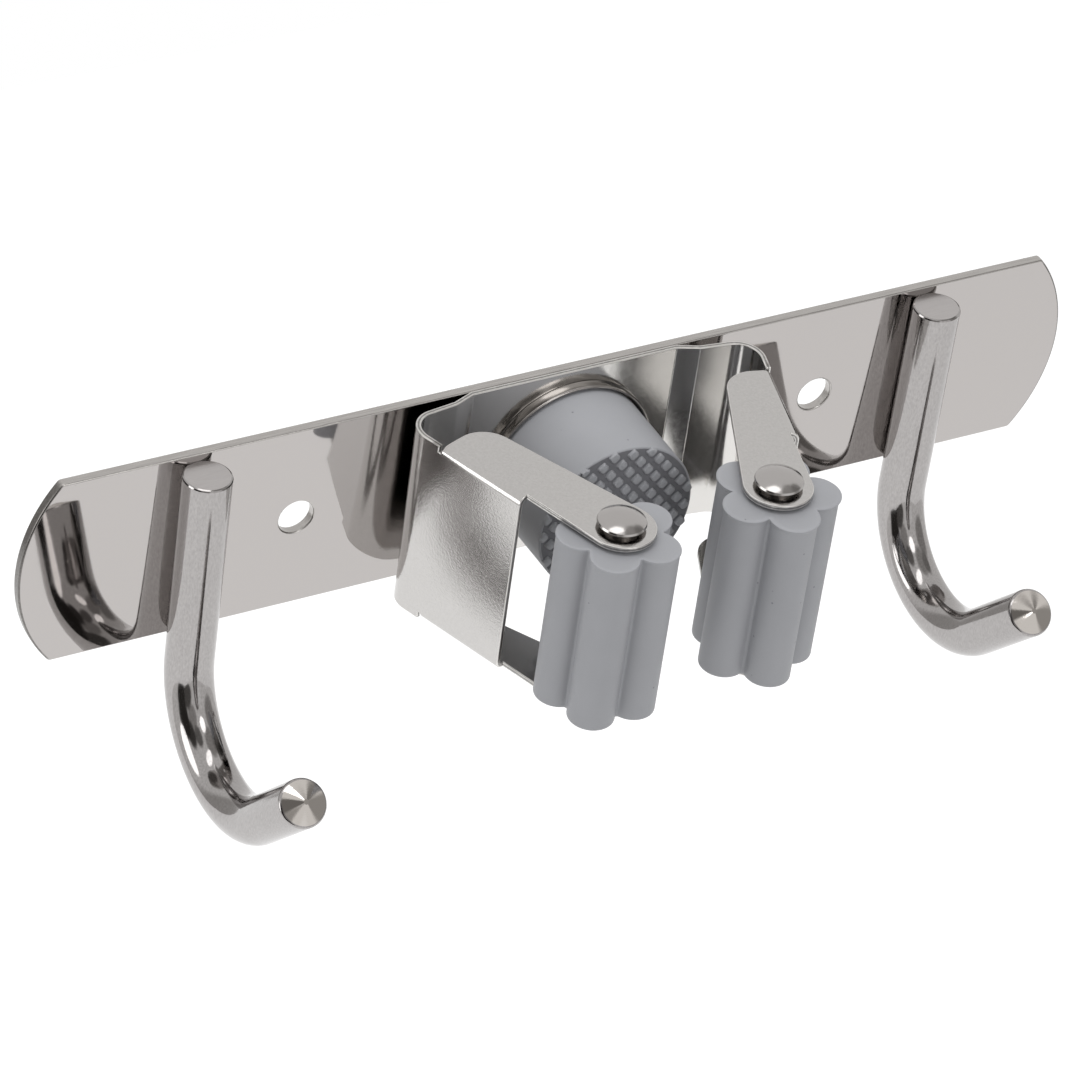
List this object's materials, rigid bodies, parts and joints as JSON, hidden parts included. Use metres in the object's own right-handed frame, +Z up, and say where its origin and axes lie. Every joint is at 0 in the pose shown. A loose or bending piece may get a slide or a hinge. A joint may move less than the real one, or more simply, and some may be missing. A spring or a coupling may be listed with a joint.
{
  "type": "wall tool holder",
  "caption": "Wall-mounted holder for mops and brooms: polished plate with bar hooks and a spring clip whose lobed rubber rollers grip a handle against a studded rubber stop.",
  "frame": {"origin": "middle of the plate's wall face", "axes": "+X along the plate to the viewer's right, -Y out of the wall, +Z up"},
  "size_m": [0.22, 0.057, 0.0692],
  "materials": {
    "plate_steel": "mirror-polished stainless sheet",
    "bar_steel": "polished stainless bar",
    "clip_steel": "satin stainless spring sheet, polished inside",
    "pin_steel": "polished rivet",
    "cup_steel": "bright pressed cup",
    "roller_rubber": "matte moulded rubber",
    "plug_rubber": "matte moulded rubber"
  },
  "bodies": {
    "holder": {"back_plate": "plate_steel", "left_hook": "bar_steel", "right_hook": "bar_steel", "clip_base": "clip_steel", "stop_cup": "cup_steel", "stop_plug": "plug_rubber"},
    "left_jaw": {"left_arm": "clip_steel", "left_pin": "pin_steel"},
    "right_jaw": {"right_arm": "clip_steel", "right_pin": "pin_steel"},
    "left_roll": {"left_roller": "roller_rubber"},
    "right_roll": {"right_roller": "roller_rubber"}
  },
  "joints": [
    {"name": "left_arm_flex", "type": "hinge", "parent": "holder", "child": "left_jaw", "pos_m": [-0.0268, -0.0037, 0], "axis": [0, 0, -1], "range_deg": [0, 9], "stiffness_Nm_per_rad": 4},
    {"name": "right_arm_flex", "type": "hinge", "parent": "holder", "child": "right_jaw", "pos_m": [0.0268, -0.0037, 0], "axis": [0, 0, 1], "range_deg": [0, 9], "stiffness_Nm_per_rad": 4},
    {"name": "left_roller_spin", "type": "hinge", "parent": "left_jaw", "child": "left_roll", "pos_m": [-0.01453, -0.0461, 0], "axis": [0, 0, 1], "continuous": true},
    {"name": "right_roller_spin", "type": "hinge", "parent": "right_jaw", "child": "right_roll", "pos_m": [0.01834, -0.04547, 0], "axis": [0, 0, 1], "continuous": true}
  ]
}
